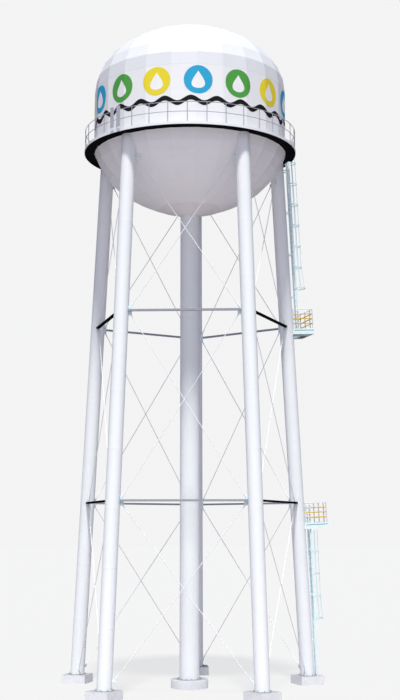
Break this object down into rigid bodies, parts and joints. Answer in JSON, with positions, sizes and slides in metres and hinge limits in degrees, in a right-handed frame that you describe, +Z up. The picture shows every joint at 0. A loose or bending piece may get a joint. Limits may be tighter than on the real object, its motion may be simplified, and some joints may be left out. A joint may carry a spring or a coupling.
{
  "type": "water tower",
  "caption": "Elevated steel water tank on leaning round legs with crossed tie rods, a central riser, a railed balcony and a caged ladder with rest platforms.",
  "frame": {"origin": "on the ground under the centre of the riser pipe", "axes": "+Z up; the front is -Y, between two legs; the ladder's leg is on the +X side"},
  "size_m": [14.4632, 13.5298, 35.83],
  "materials": {
    "white_paint": "satin white paint with a lavender tint",
    "tank_paint": "satin white paint",
    "dark_paint": "dark paint",
    "pale_blue_paint": "pale blue paint",
    "guard_paint": "pale paint with yellow bars",
    "grey_panel": "grey paint",
    "concrete": "rough pale concrete"
  },
  "bodies": {
    "root": {"balcony_deck": "white_paint", "balcony_railing_back_left": "white_paint", "balcony_railing_back_right": "white_paint", "balcony_railing_front_left": "white_paint", "balcony_railing_front_right": "white_paint", "cage_lower": "pale_blue_paint", "cage_upper": "pale_blue_paint", "foot_pad_back": "concrete", "foot_pad_front_left": "concrete", "foot_pad_front_right": "concrete", "foot_pad_left": "concrete", "foot_pad_right": "concrete", "ladder_lower": "pale_blue_paint", "ladder_middle": "pale_blue_paint", "ladder_upper": "pale_blue_paint", "leg_back": "white_paint", "leg_front_left": "white_paint", "leg_front_right": "white_paint", "leg_left": "white_paint", "leg_right": "white_paint", "platform_guard_lower": "guard_paint", "platform_guard_upper": "guard_paint", "platform_lower": "pale_blue_paint", "platform_upper": "pale_blue_paint", "rail_panel_left": "grey_panel", "rail_panel_right": "grey_panel", "riser_base": "concrete", "riser_dish": "white_paint", "riser_pipe": "white_paint", "roof_dome": "white_paint", "strut_lower_back_left": "white_paint", "strut_lower_back_right": "white_paint", "strut_lower_front": "white_paint", "strut_lower_left": "dark_paint", "strut_lower_right": "dark_paint", "strut_upper_back_left": "white_paint", "strut_upper_back_right": "white_paint", "strut_upper_front": "white_paint", "strut_upper_left": "dark_paint", "strut_upper_right": "dark_paint", "tank_bowl": "white_paint", "tank_wall": "tank_paint", "tie_rods_back_left": "white_paint", "tie_rods_back_right": "white_paint", "tie_rods_front": "white_paint", "tie_rods_left": "white_paint", "tie_rods_right": "white_paint"}
  },
  "joints": []
}
